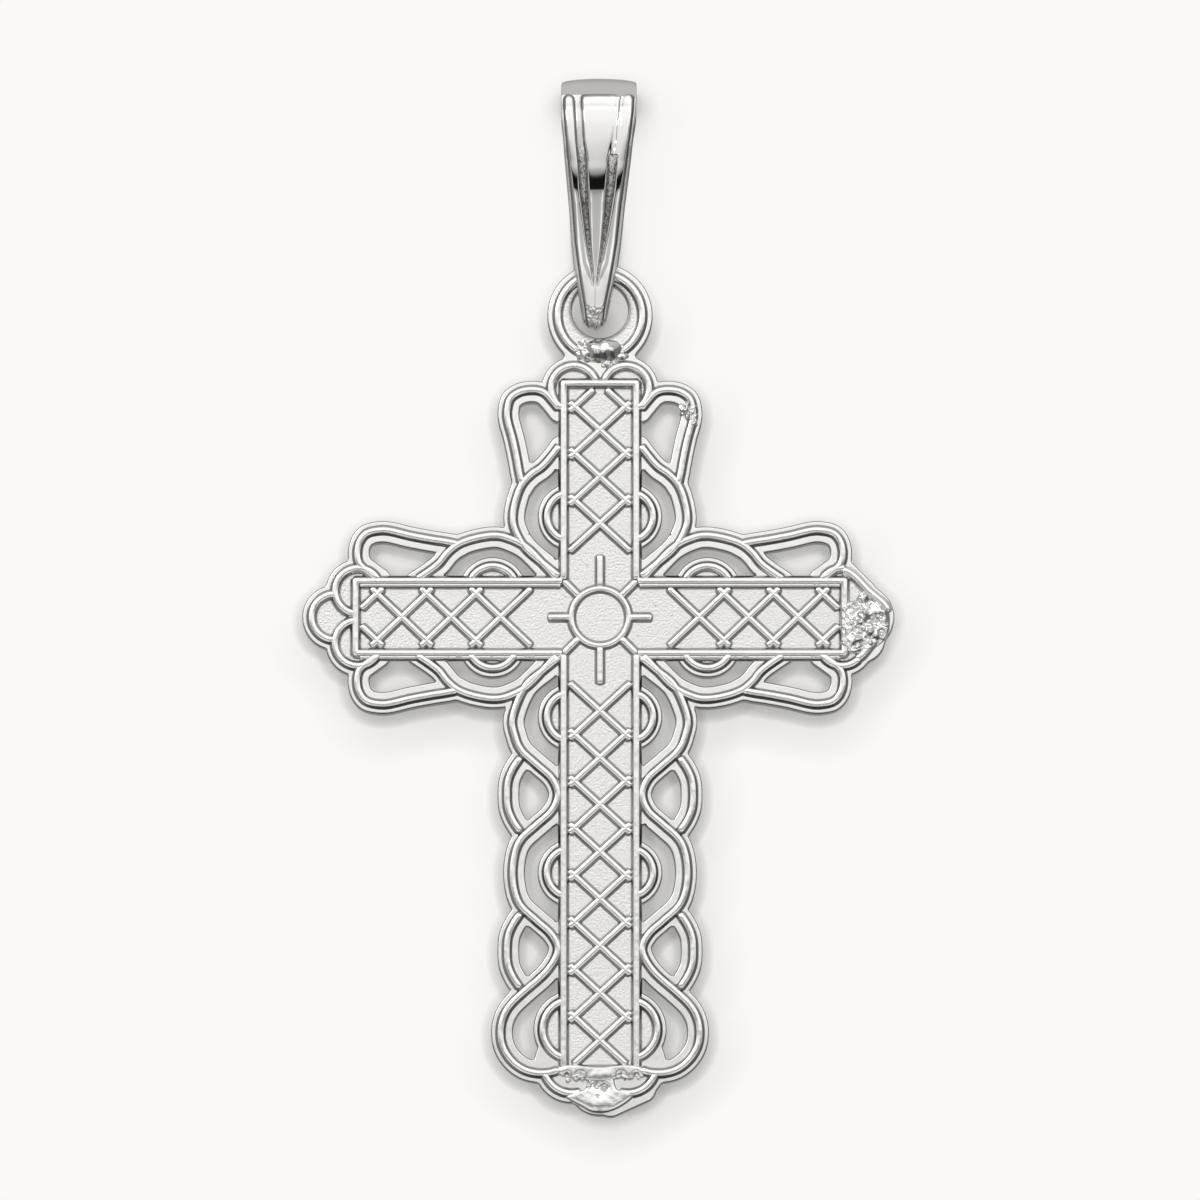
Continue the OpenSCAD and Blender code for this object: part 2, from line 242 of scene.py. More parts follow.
# Half rings and scallops as (distance from the arm's axis, distance from the crossing, radius)
ARM_RING = (0.82, 2.9, 0.7)
SIDE_RING = (0.82 * 0.94, 2.9 * 1.06, 0.7)
FOOT_RINGS = ((0.82, BULGE, 0.7), (0.82, BULGE + 2 * HALF_WAVE, 0.7), (0.78, 11.84, 0.86))
TOP_SCALLOP, SIDE_SCALLOP, FOOT_SCALLOP = (0.75, 6.6, 0.66), (0.75, 6.93, 0.66), (0.8, 12.85, 0.82)
SIDE_TIP, FOOT_TIP = (0, 7.6, 0.66), (0, 13.37, 0.66)
# The melted right tip is shorter, has two discs of its own, and below RIGHT_CUT_TOP ends where x
# and z add up to RIGHT_CUT. The melted foot has a ledge on its right.
RIGHT_SHORTER, RIGHT_CORNER, RIGHT_LOWER = 0.1, (0.5, 7.42, 0.6), (-0.6, 7.48, 0.7)
RIGHT_CUT, RIGHT_CUT_TOP = 8.8, 1.66
FOOT_RIGHT_EDGE = np.array([(0.3, 13.99), (1.25, 13.56)])


def length_along(curve):
    """The length along a curve up to each of its points."""
    return np.append(0, np.cumsum(np.hypot(*np.diff(curve, axis=0).T)))


def read_along(curve, at):
    """The points that lie at given lengths along a curve."""
    return np.column_stack([np.interp(at, length_along(curve), curve[:, k]) for k in (0, 1)])


def even_steps(curve, spacing):
    """The same curve walked in even steps."""
    length = length_along(curve)[-1]
    return read_along(curve, np.linspace(0, length, max(2, int(round(length / spacing)) + 1)))


def smooth_stretches(a, b, c, d, steps):
    """Points from each b on to its c: a cubic that leaves b with half the step from a to c and
    reaches c with half the step from b to d."""
    a, b, c, d = (points[:, None] for points in (a, b, c, d))
    u = np.linspace(0, 1, steps, endpoint=False)[None, :, None]
    curve = 0.5 * (2 * b + (c - a) * u + (2 * a - 5 * b + 4 * c - d) * u ** 2
                   + (3 * b - a - 3 * c + d) * u ** 3)
    return curve.reshape(-1, 2)


def smooth_line(chart, spacing):
    """A smooth curve through charted points, walked in even steps."""
    p = np.vstack([chart[:1], chart, chart[-1:]])
    curve = smooth_stretches(p[:-3], p[1:-2], p[2:-1], p[3:], 16)
    return even_steps(np.vstack([curve, chart[-1:]]), spacing)


def from_ribbon(across, along, chart):
    """Signed distance to the metal beside a rail: the distance to the nearest stretch of its line,
    less the inner ledge on the line's left and the outer ledge on its right; 1 far from it."""
    line = smooth_line(chart, 0.09)
    low, high = line.min(axis=0) - 0.6, line.max(axis=0) + 0.6
    near = (across > low[0]) & (across < high[0]) & (along > low[1]) & (along < high[1])
    px, py = across[near][:, None], along[near][:, None]
    start, step = line[:-1].T, np.diff(line, axis=0).T
    u = ((px - start[0]) * step[0] + (py - start[1]) * step[1]) / (step ** 2).sum(axis=0)
    u = np.clip(u, 0, 1)
    dx, dy = px - start[0] - u * step[0], py - start[1] - u * step[1]
    far = np.hypot(dx, dy)
    nearest = far.argmin(axis=1)[:, None]
    left = np.take_along_axis(step[0] * dy - step[1] * dx, nearest, axis=1) > 0
    out = np.full(across.shape, 1.0)
    out[near] = (np.take_along_axis(far, nearest, axis=1) - np.where(left, LEDGE_IN, LEDGE_OUT))[:, 0]
    return out


def from_box(x, z, low, high):
    """Signed distance to a rectangle from its low corner to its high corner."""
    dx = np.maximum(low[0] - x, x - high[0])
    dz = np.maximum(low[1] - z, z - high[1])
    return np.hypot(np.maximum(dx, 0), np.maximum(dz, 0)) + np.minimum(np.maximum(dx, dz), 0)


def from_band(x, z, grow=0.0):
    """Signed distance to the cross-shaped field between the frame lines, grown by so much."""
    return np.minimum(
        from_box(x, z, (-BAND_HALF, -FOOT_REACH), (BAND_HALF, TOP_REACH)),
        from_box(x, z, (-SIDE_REACH, -BAND_HALF), (SIDE_REACH, BAND_HALF))) - grow


def from_disc(across, along, spot, grow=0.0):
    """Signed distance to a disc, on both sides of the arm's axis."""
    return np.hypot(np.abs(across) - spot[0], along - spot[1]) - spot[2] - grow


def melt(first, second, width=0.06):
    """The smaller of two distances, with the corner between them filled as metal runs into it."""
    near = np.maximum(width - np.abs(first - second), 0) / width
    return np.minimum(first, second) - near ** 2 * width / 4


def from_outline(x, z):
    """Signed distance to the pierced outline: ledges along every rail, round ledges at the rings
    and scallops, the field with its frame, and the eye with its neck, all run together."""
    d = from_band(x, z, FRAME_LEDGE)
    half_x, half_z, right = np.abs(x), np.abs(z), x > 0
    for chart in (INNER_RAIL, OUTER_RAIL):
        d = melt(d, from_ribbon(half_x, z, chart))
        d = melt(d, from_ribbon(half_z, half_x, chart * SIDE_STRETCH))
    for chart in FOOT_CHARTS:
        d = melt(d, from_ribbon(half_x, -z, chart))
    discs = [(ARM_RING, RING_LEDGE, x, z), (TOP_SCALLOP, LEDGE_OUT, x, z),
             (SIDE_RING, RING_LEDGE, z, half_x), (SIDE_SCALLOP, LEDGE_OUT, z, half_x),
             (SIDE_TIP, LEDGE_OUT, z, half_x + RIGHT_SHORTER * right),
             (FOOT_SCALLOP, LEDGE_OUT, x, -z), (FOOT_TIP, LEDGE_OUT, x, -z), (RIGHT_CORNER, 0, z, x)]
    for spot, ledge, across, along in discs + [(ring, RING_LEDGE, x, -z) for ring in FOOT_RINGS]:
        d = melt(d, from_disc(across, along, spot, ledge))
    d = melt(d, from_ribbon(x, -z, FOOT_RIGHT_EDGE))
    d = melt(d, np.hypot(z - RIGHT_LOWER[0], x - RIGHT_LOWER[1]) - RIGHT_LOWER[2])
    d = np.where(z < RIGHT_CUT_TOP, np.maximum(d, (x + z - RIGHT_CUT) / math.sqrt(2)), d)
    d = melt(d, np.hypot(x, z - EYE_Z) - EYE_R)
    d = melt(d, from_box(x, z, (-NECK_HALF, NECK_LOW), (NECK_HALF, NECK_HIGH)), NECK_FILLET)
    return np.maximum(d, EYE_HOLE_R - np.hypot(x, z - EYE_HOLE_Z))


def matt_here(x, z):
    """1 in the sunk matt places, which are the field, the scallops and the half rings, less on the
    eye's inner ledge, and 0 elsewhere."""
    d, half_x = from_band(x, z), np.abs(x)
    discs = [(ARM_RING, x, z), (TOP_SCALLOP, x, z), (SIDE_RING, z, half_x),
             (SIDE_SCALLOP, z, half_x), (SIDE_TIP, z, half_x)]
    for spot, across, along in discs + [(ring, x, -z) for ring in FOOT_RINGS]:
        d = np.minimum(d, from_disc(across, along, spot))
    from_eye = np.hypot(x, z - EYE_Z) - EYE_MATT_R
    sunk, eye = (np.clip(0.5 - off / MATT_EDGE, 0, 1) for off in (d, from_eye))
    return np.maximum(sunk, EYE_MATT * eye)


def cut_sheet(distance, low, high, inset):
    """A flat sheet cut to a signed distance: a square grid keeps each cell that has a corner
    inside, and corners outside are pulled along the slope of the distance on to the outline.
    Gives the points, the cells, the edges round every cut with the metal on their left, and the
    way out at each point."""
    xs, zs = (np.arange(low[k], high[k] + GRID, GRID) for k in (0, 1))
    x, z = (places.ravel() for places in np.meshgrid(xs, zs, indexing="ij"))
    inside = distance(x, z) + inset <= 0
    corner = np.arange(x.size).reshape(len(xs), len(zs))
    cells = np.stack([corner[:-1, :-1], corner[1:, :-1], corner[1:, 1:], corner[:-1, 1:]], axis=-1)
    cells = cells[inside[cells].any(axis=-1)]
    used, cells = np.unique(cells, return_inverse=True)
    cells = cells.reshape(-1, 4)
    spots = np.column_stack([x[used], z[used]])
    pull = ~inside[used]
    way = np.zeros_like(spots)
    for _ in range(3):
        px, pz = spots[pull].T
        here = distance(px, pz) + inset
        slope = np.column_stack([distance(px + NUDGE, pz) + inset - here,
                                 distance(px, pz + NUDGE) + inset - here]) / NUDGE
        slope /= np.maximum(np.hypot(*slope.T), 0.3)[:, None]
        spots[pull] -= np.clip(here, -GRID, 1.5 * GRID)[:, None] * slope
        way[pull] = slope
    edges = np.concatenate([cells[:, [k, (k + 1) % 4]] for k in range(4)])
    key = np.sort(edges, axis=1) @ (len(spots), 1)
    _, first, count = np.unique(key, return_index=True, return_counts=True)
    return spots, cells, edges[first[count == 1]], way


def pierced_plate():
    """The plate: the cut sheet at the front and again at the back, and along every cut a wall whose
    rows follow a quarter round at each face. The matt places lie lower at the front. With a mask for
    the matt places on the front, and one for painted shade in the eye's hole and close to its edge."""
    spots, cells, rim, way = cut_sheet(from_outline, GRID_LOW, GRID_HIGH, EDGE_ROUND)
    matt = matt_here(*spots.T)
    turn = np.radians((30, 60, 90))
    out, deep = EDGE_ROUND * np.sin(turn), EDGE_ROUND * (1 - np.cos(turn))
    out, deep = np.append(out, out[::-1]), np.append(deep, PLATE_T - deep[::-1])
    on_rim = np.unique(rim)
    place = np.zeros(len(spots), int)
    place[on_rim] = np.arange(len(on_rim))
    front = np.insert(spots, 1, -PLATE_T / 2 + FIELD_SUNK * matt, axis=1)
    back = np.insert(spots, 1, PLATE_T / 2, axis=1)
    rows = [np.insert((spots + way * o)[on_rim], 1, -PLATE_T / 2 + q, axis=1)
            for o, q in zip(out, deep)]
    points = np.vstack([front, back] + rows)
    n, m = len(spots), len(on_rim)
    levels = [rim] + [2 * n + k * m + place[rim] for k in range(len(rows))] + [rim + n]
    walls = [np.column_stack([a[:, 0], b[:, 0], b[:, 1], a[:, 1]]) for a, b in zip(levels, levels[1:])]
    faces = np.vstack([cells, cells[:, ::-1] + n] + walls)
    matt = np.append(matt, np.zeros(len(points) - n))
    # Painted shade on the front close round the eye's hole and in it
    from_eye = np.hypot(points[:, 0], points[:, 2] - EYE_HOLE_Z) - EYE_HOLE_R
    return points, faces, {"matt": matt, "hole_rim_shade": np.clip(1.5 - from_eye / EDGE_ROUND / 2, 0, 1)}


# Points closer than SEAM mm are one point, and faces as square to Y as LEVEL_FACE stay flat
SEAM, LEVEL_FACE = 0.0015, 0.9995


def make_piece(name, shells, look, body="cross", masks=None):
    """Joins shells of (points, faces) in millimetres into one piece in metres, shifted down to the
    crossing if it rides on the cross, closes its seams and turns its faces outwards."""
    start = np.cumsum([0] + [len(points) for points, _ in shells])
    points = np.vstack([points for points, _ in shells])
    if body == "cross":
        points = points + (0, 0, CROSSING_Z)
    faces = [face for k, (_, part) in enumerate(shells) for face in (part + start[k]).tolist()]
    mesh = bpy.data.meshes.new(name)
    mesh.from_pydata((points * MM).tolist(), [], faces)
    for mask, values in (masks or {}).items():
        mesh.attributes.new(mask, "FLOAT", "POINT").data.foreach_set("value", values)
    tidy = bmesh.new()
    tidy.from_mesh(mesh)
    bmesh.ops.remove_doubles(tidy, verts=tidy.verts, dist=SEAM * MM)
    bmesh.ops.recalc_face_normals(tidy, faces=tidy.faces)
    for face in tidy.faces:
        face.smooth = abs(face.normal.y) < LEVEL_FACE
    tidy.to_mesh(mesh)
    tidy.free()
    mesh.materials.append(look)
    piece = put_in_scene(name, mesh)
    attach(piece, body)
    return piece


def new_group(name, numbers, outputs):
    """An empty shader node group that reads a place and named numbers, each with its value, and
    puts out named numbers."""
    group = bpy.data.node_groups.new(name, "ShaderNodeTree")
    add = group.interface.new_socket
    add("Place", in_out="INPUT", socket_type="NodeSocketVector")
    for label, number in numbers.items():
        add(label, in_out="INPUT", socket_type="NodeSocketFloat").default_value = number
    for label in outputs:
        add(label, in_out="OUTPUT", socket_type="NodeSocketFloat")
    return group, group.nodes.new("NodeGroupInput").outputs, group.nodes.new("NodeGroupOutput").inputs


def noise(tree, place, scale, detail, rough=0.5):
    """A Noise Texture read at a place in millimetres."""
    return add_node(tree, "TexNoise", Vector=place, Scale=scale, Detail=detail,
                    Roughness=rough).outputs["Fac"]


def matt_grain_group():
    """Fine matt grain of a blasted casting, as a height."""
    group, given, wanted = new_group("matt_grain", {"Grains per mm": 16.0}, ("Height",))
    feed(group, noise(group, given["Place"], given["Grains per mm"], 3.0, 0.6), wanted["Height"])
    return group


def hand_polish_group():
    """Hand polish on cast metal: a slow waviness as a height, and a patchy gloss."""
    group, given, wanted = new_group(
        "hand_polish", {"Waves per mm": 2.5, "Scuffs per mm": 11.0}, ("Height", "Scuffs"))
    feed(group, noise(group, given["Place"], given["Waves per mm"], 1.0), wanted["Height"])
    feed(group, noise(group, given["Place"], given["Scuffs per mm"], 4.0, 0.7), wanted["Scuffs"])
    return group


MATT_GRAIN = matt_grain_group()
HAND_POLISH = hand_polish_group()


def metal_look(name, colour, roughness):
    """A material with a metal Principled shader, and the place on the piece in millimetres."""
    look = bpy.data.materials.new(name)
    look.use_nodes = True
    tree = look.node_tree
    shader = tree.nodes["Principled BSDF"]
    for label, value in (("Base Color", colour), ("Metallic", 1), ("Roughness", roughness)):
        shader.inputs[label].default_value = value
    scale = add_node(tree, "Mapping", Vector=add_node(tree, "TexCoord").outputs["Object"],
                     Scale=(1000, 1000, 1000))
    return look, tree, shader, scale.outputs[0]


def place_group(tree, group, **given):
    """A node group set in a material, with the place and the material's own values."""
    node = add_node(tree, "Group")
    node.node_tree = group
    for name, source in given.items():
        feed(tree, source, node.inputs[name.replace("_", " ")])
    return node.outputs


def add_bump(tree, shader, height, depth_mm, under=None):
    """A Bump node of so many millimetres' depth that feeds the shader's normal."""
    bump = add_node(tree, "Bump", Distance=depth_mm * MM, Height=height)
    if under is not None:
        feed(tree, under, bump.inputs["Normal"])
    feed(tree, bump.outputs[0], shader.inputs["Normal"])
    return bump.outputs[0]


def roughen(tree, shader, *added):
    """Adds to the shader's roughness, for each mask, so much where it is 1."""
    rough = shader.inputs["Roughness"].default_value
    for mask, more in added:
        rough = calculate(tree, "MULTIPLY_ADD", mask, more, rough)
    feed(tree, rough, shader.inputs["Roughness"])


def read_mask(tree, name):
    """A mask stored on the mesh's points."""
    node = add_node(tree, "Attribute")
    node.attribute_name = name
    return node.outputs["Fac"]


def on_slopes(tree):
    """1 on surfaces that slope away from the plate's face and 0 on flat ones and crowns."""
    normal = add_node(tree, "SeparateXYZ", Vector=add_node(tree, "TexCoord").outputs["Normal"])
    return step_between(tree, calculate(tree, "ABSOLUTE", normal.outputs["Y"]), 0.74, 0.92, 1.0, 0.0)


def darken(tree, shader, share, dark):
    """Blends the shader's base colour to a darker one where the share is 1."""
    mix = add_node(tree, "Mix")
    mix.data_type = "RGBA"
    base = shader.inputs["Base Color"]
    for source, target in ((share, 0), (tuple(base.default_value), 6), (dark, 7)):
        feed(tree, source, mix.inputs[target])
    feed(tree, mix.outputs[2], base)


# Bright silver, painted shade on the flanks of rails, and darker painted shade on the plate's cut edges
SILVER = (0.94, 0.93, 0.895, 1)
FLANK_SHADE = (0.54, 0.536, 0.52, 1)
EDGE_SHADE = (0.32, 0.318, 0.308, 1)
# Roughness of the polished ledges, and what matt grain and scuffs add to it
PLATE_ROUGH, MATT_ADDS, SCUFFS_ADD = 0.16, 0.12, 0.12


def plate_look():
    """Matt in the sunk places and polished on the ledges, by one mask on the plate, and painted
    shade on its cut edges and, by the other mask, round the eye's hole."""
    look, tree, shader, place = metal_look("cast_plate", SILVER, PLATE_ROUGH)
    matt = read_mask(tree, "matt")
    dark = calculate(tree, "MAXIMUM", on_slopes(tree), read_mask(tree, "hole_rim_shade"))
    darken(tree, shader, dark, EDGE_SHADE)
    grain = place_group(tree, MATT_GRAIN, Place=place, Grains_per_mm=15.0)
    polish = place_group(tree, HAND_POLISH, Place=place)
    roughen(tree, shader, (matt, MATT_ADDS), (polish["Scuffs"], SCUFFS_ADD))
    waves = add_bump(tree, shader, polish["Height"], depth_mm=0.003)
    grains = calculate(tree, "MULTIPLY", grain["Height"], matt)
    add_bump(tree, shader, grains, depth_mm=0.022, under=waves)
    return look


points, faces, masks = pierced_plate()
ground_plate = make_piece("ground_plate", [(points, faces)], plate_look(), masks=masks)
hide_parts("cross")


# Frame and lace rails. Cast in one with the plate on both faces: round-topped rails on a sloping
# foot, the frame straight round the field, the lace winding out from its corners and back.
def mirrored(half):
    """A section across a rail, as (across, height over the face), from its left half."""
    half = np.array(half)
    return np.vstack([half, half[-2::-1] * (-1, 1)])


FRONT = -PLATE_T / 2
RAIL_STEP = 0.06
RAIL_SHAPE = mirrored([(-0.162, -0.07), (-0.16, 0), (-0.134, 0.036), (-0.109, 0.072),
                       (-0.095, 0.095), (-0.08, 0.109), (-0.05, 0.118), (0, 0.121)])
# Low steps run along under the level frame lines of the side arms
STEP_SHAPE = mirrored([(-0.115, -0.05), (-0.113, 0), (-0.086, 0.05), (-0.062, 0.086),
                       (-0.045, 0.096), (0, 0.1)])
STEP_BELOW, STEP_START = 0.115, 1.1
# Frame lines run on past their corners, and the foot's lies a little lower
OVERRUN, FOOT_LOWER = 0.1, 0.05
RAIL_END, STEP_END = 0.15, 0.1


def round_ended(line, radius):
    """A line's points with more of them near its ends, and how far a bar along it has swollen there.
    For a turn from 0 to 90 degrees the swelling is its sine to the power 0.6, and the way from the
    end 0.7 of the radius times 1 less its cosine."""
    run = length_along(line)
    turn = np.radians(np.arange(0, 90, 15))
    close = 0.7 * radius * (1 - np.cos(turn))
    inner = run[(run > radius) & (run < run[-1] - radius)]
    at = np.concatenate([close, [radius], inner, [run[-1] - radius], run[-1] - close[::-1]])
    rise = np.sin(turn) ** 0.6
    return read_along(line, at), np.concatenate([rise, np.ones(len(inner) + 2), rise[::-1]])


def net(rows, columns, closed=False):
    """The four-sided faces of a grid of points whose columns run round, and whose rows do if it is
    closed."""
    i = np.arange(rows if closed else rows - 1)[:, None]
    j = np.arange(columns)[None]
    a, b = i * columns + j, i * columns + (j + 1) % columns
    c, d = (i + 1) % rows * columns + (j + 1) % columns, (i + 1) % rows * columns + j
    return np.stack([a, b, c, d], axis=-1).reshape(-1, 4)


def carried(line, shape, level, swell=None, closed=False, far=False):
    """A shape carried along a line in the plane of the cross: each section stands square to the
    line, as (across, height over the level), swollen by its share and closed underneath. On the far
    face it is turned to the other side."""
    if closed:
        ahead = np.roll(line, -1, axis=0) - np.roll(line, 1, axis=0)
    else:
        ahead = np.gradient(line, axis=0)
    ahead = ahead / np.hypot(*ahead.T)[:, None]
    swell = np.ones(len(line)) if swell is None else swell
    across = np.outer(swell, shape[:, 0])
    height = np.outer(swell, shape[:, 1])
    x = line[:, :1] - ahead[:, 1:] * across
    z = line[:, 1:] + ahead[:, :1] * across
    y = level - height
    points = np.stack([x, -y if far else y, z], axis=-1).reshape(-1, 3)
    return points, net(len(line), len(shape), closed)


def bar(line, shape, level, radius, far=False):
    """A bar with round ends along a line, plainer and a little smaller on the far face."""
    path, swell = round_ended(line, radius)
    if far:
        path, shape, swell = path[::2], shape[::2], swell[::2] * 0.98
    return carried(path, shape, level, swell, far=far)


def both_faces(lines):
    """Rails along the lines, on the near face and on the far one."""
    return [bar(line, RAIL_SHAPE, FRONT, RAIL_END, far) for line in lines for far in (False, True)]


def on_arm(chart, arm, side):
    """Charted points put on an arm of the cross, on one side of its axis."""
    across, along = side * chart[:, 0], chart[:, 1]
    return np.column_stack({"up": (across, along), "foot": (across, -along),
                            "right": (along, across), "left": (-along, across)}[arm])


def rail_lines():
    """The centre lines of every lace rail and of the frame's straight sides."""
    lines = []
    for side in (-1, 1):
        for chart in (INNER_RAIL, OUTER_RAIL):
            lines.append(on_arm(smooth_line(chart, RAIL_STEP), "up", side))
            for arm in ("left", "right"):
                lines.append(on_arm(smooth_line(chart * SIDE_STRETCH, RAIL_STEP), arm, side))
        for chart in FOOT_CHARTS:
            lines.append(on_arm(smooth_line(chart, RAIL_STEP), "foot", side))
    h, past = BAND_HALF, BAND_HALF + OVERRUN
    for arm, reach, end in (("up", TOP_REACH, TOP_REACH), ("left", SIDE_REACH, SIDE_REACH),
                            ("foot", FOOT_REACH, FOOT_REACH + FOOT_LOWER),
                            ("right", SIDE_REACH, SIDE_REACH)):
        along, across = np.array([((h, h), (h, reach + OVERRUN)), ((-past, end), (past, end))])
        lines += [on_arm(even_steps(along, 0.5), arm, side) for side in (-1, 1)]
        lines.append(on_arm(even_steps(across, 0.5), arm, 1))
    return lines


def frame_steps():
    """The centre lines of the low steps."""
    ends = [((side * STEP_START, z - STEP_BELOW), (side * (SIDE_REACH - OVERRUN), z - STEP_BELOW))
            for side in (-1, 1) for z in (BAND_HALF, -BAND_HALF)]
    return [even_steps(np.array(pair), 0.5) for pair in ends]


def rail_look():
    """Bright hand polish with faint scuffs, and painted shade on the flanks."""
    look, tree, shader, place = metal_look("polished_rails", SILVER, 0.15)
    darken(tree, shader, on_slopes(tree), FLANK_SHADE)
    polish = place_group(tree, HAND_POLISH, Place=place, Waves_per_mm=3.5)
    roughen(tree, shader, (polish["Scuffs"], SCUFFS_ADD))
    add_bump(tree, shader, polish["Height"], depth_mm=0.006)
    return look


RAIL_LOOK = rail_look()
lace_rails = make_piece(
    "lace_rails", both_faces(rail_lines())
    + [bar(line, STEP_SHAPE, FRONT, STEP_END) for line in frame_steps()], RAIL_LOOK)
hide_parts("cross")


# Half rings and scallops. Round rails like the lace, the half rings in the bends of the lace and
# the scallops round the ends of the arms; those on the right tip have run together with the melt.
def arc(spot, start, end):
    """Points round a circle from one angle to another, in degrees from the arm's outer side."""
    turn = np.radians(np.linspace(start, end, int(abs(end - start) / 5) + 2))
    return np.column_stack([spot[0] + spot[2] * np.cos(turn), spot[1] + spot[2] * np.sin(turn)])


def half_ring(spot):
    """The part of a ring that stands outside its arm's frame line."""
    reach = math.degrees(math.acos((BAND_HALF - spot[0]) / spot[2]))
    return arc(spot, -reach, reach)


def scallop(spot, reach):
    """A ring from the arm's side, round its corner, to the frame line across its end."""
    start = -math.degrees(math.acos((BAND_HALF - spot[0]) / spot[2]))
    return arc(spot, start, 180 - math.degrees(math.asin((reach - spot[1]) / spot[2])))


# What shows of the scallops on the right tip, at the foot and on the left tip, in degrees
UPPER_RIGHT_ARC, LOWER_RIGHT_ARC, FOOT_ARC, LEFT_TIP_ARC = (-64, 10), (-64, 50), (14, 110), (-2, 182)
ring_lines = []
for side, right_arc in ((-1, LOWER_RIGHT_ARC), (1, UPPER_RIGHT_ARC)):
    ring_lines.append(on_arm(half_ring(ARM_RING), "up", side))
    ring_lines.append(on_arm(scallop(TOP_SCALLOP, TOP_REACH), "up", side))
    ring_lines += [on_arm(half_ring(spot), "foot", side) for spot in FOOT_RINGS]
    ring_lines += [on_arm(half_ring(SIDE_RING), arm, side) for arm in ("left", "right")]
    ring_lines.append(on_arm(scallop(SIDE_SCALLOP, SIDE_REACH), "left", side))
    ring_lines.append(on_arm(arc(SIDE_SCALLOP, *right_arc), "right", side))
    ring_lines.append(on_arm(arc(FOOT_SCALLOP, *FOOT_ARC), "foot", side))
ring_lines.append(on_arm(arc(SIDE_TIP, *LEFT_TIP_ARC), "left", 1))
rings = make_piece("rings_and_scallops", both_faces(ring_lines), RAIL_LOOK)
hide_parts("cross")

# Lattice. Crossed bars with round tops and ends, cast on the near face only, from just inside one
# frame line to just inside the other, four to each short arm and eight down the long one.
LATTICE_SHAPE = mirrored([(-0.154, -0.05), (-0.152, 0), (-0.126, 0.034), (-0.1, 0.068),
                          (-0.083, 0.09), (-0.068, 0.101), (-0.04, 0.108), (0, 0.11)])
FIELD = FRONT + FIELD_SUNK
LATTICE_END = 0.13
# For each arm: first crossing, spacing, number, where the bars are cut off, and how far each
# reaches from its crossing, across the arm and along it
SIDE_LATTICE = (2.845, 1.415, 4, 6.86, 0.86, 0.9)
LATTICE = {"up": (2.7, 1.35, 4, 6.6, 0.9, 0.83), "foot": (2.7, 1.35, 8, 12.86, 0.9, 0.83),
           "left": SIDE_LATTICE, "right": SIDE_LATTICE}


def lattice_bars():
    """Centre lines of the bars: pairs that cross on the arm's axis at even distances."""
    lines = []
    for arm, (first, pitch, many, end, half_across, half_along) in LATTICE.items():
        for middle in first + pitch * np.arange(many):
            stop = min(middle + half_along, end)
            share = (stop - middle) / half_along
            chart = np.array([(-half_across, middle - half_along), (share * half_across, stop)])
            lines += [on_arm(even_steps(chart, 0.3), arm, side) for side in (-1, 1)]
    return lines


lattice = make_piece(
    "lattice", [bar(line, LATTICE_SHAPE, FIELD, LATTICE_END) for line in lattice_bars()], RAIL_LOOK)
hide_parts("cross")

# Crossing. A ring with four rays along the arms and four to the frame's inner corners, as high as
# the lattice, round a bare matt middle.
CENTRE_R = 0.82
RING_WIDTH, RAY_WIDTH, RAY_END = 0.95, 1.05, 0.14
RAY_REACH = {"up": 1.82, "foot": 1.96, "left": 1.52, "right": 1.52}
CORNER_RAY = np.array([(0.58, 0.58), (1.1, 1.1)])


def circle(radius, middle):
    """Points round a circle, 3 degrees apart."""
    turn = np.radians(np.arange(0, 360, 3))
    return radius * np.column_stack([np.cos(turn), np.sin(turn)]) + middle


def ray_lines():
    """Rays as straight lines from inside the ring's rail outwards."""
    rays = [on_arm(np.array([(0, CENTRE_R), (0, reach)]), arm, 1) for arm, reach in RAY_REACH.items()]
    rays += [CORNER_RAY * (side, up) for side in (-1, 1) for up in (-1, 1)]
    return [even_steps(ray, 0.2) for ray in rays]


crossing = make_piece(
    "ring_and_rays",
    [carried(circle(CENTRE_R, (0, 0)), LATTICE_SHAPE * (RING_WIDTH, 1), FIELD, closed=True)]
    + [bar(line, LATTICE_SHAPE * (RAY_WIDTH, 1), FIELD, RAY_END) for line in ray_lines()], RAIL_LOOK)
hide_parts("cross")

# Eye. The flat ring that hangs in the bail, cast with the plate, has a narrow round rail near its
# outer edge on both faces.
EYE_RAIL_R, EYE_RAIL_WIDTH = 1.215, 1.02
eye_circle = circle(EYE_RAIL_R, (0, EYE_Z))
eye_rail = make_piece(
    "eye_rail", [carried(eye_circle, RAIL_SHAPE * (EYE_RAIL_WIDTH, 1), FRONT, closed=True, far=far)
                 for far in (False, True)], RAIL_LOOK)
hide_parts("cross")

# Solder. A blob of solder was melted over the joint of eye and plate: a smooth mirror-bright body,
# crinkled at its left end and where its foot ran between the two top scallops.
SOLDER_Y = FRONT + 0.02
CRUMB_ROUGH = 0.28


def ripples(points, seed, short, long, many=18):
    """A seeded rough field: the mean of sine waves in random directions, each with a wavelength
    between short and long and a size that goes with it."""
    chance = np.random.default_rng(seed)
    way = chance.normal(size=(many, 3))
    way /= np.linalg.norm(way, axis=1)[:, None]
    length = np.exp(chance.uniform(math.log(short), math.log(long), many))
    phase = chance.uniform(0, 2 * math.pi, many)
    waves = np.sin(points @ (way.T * (2 * math.pi / length)) + phase)
    return waves @ (length / length.sum()) * math.sqrt(many) / 1.5


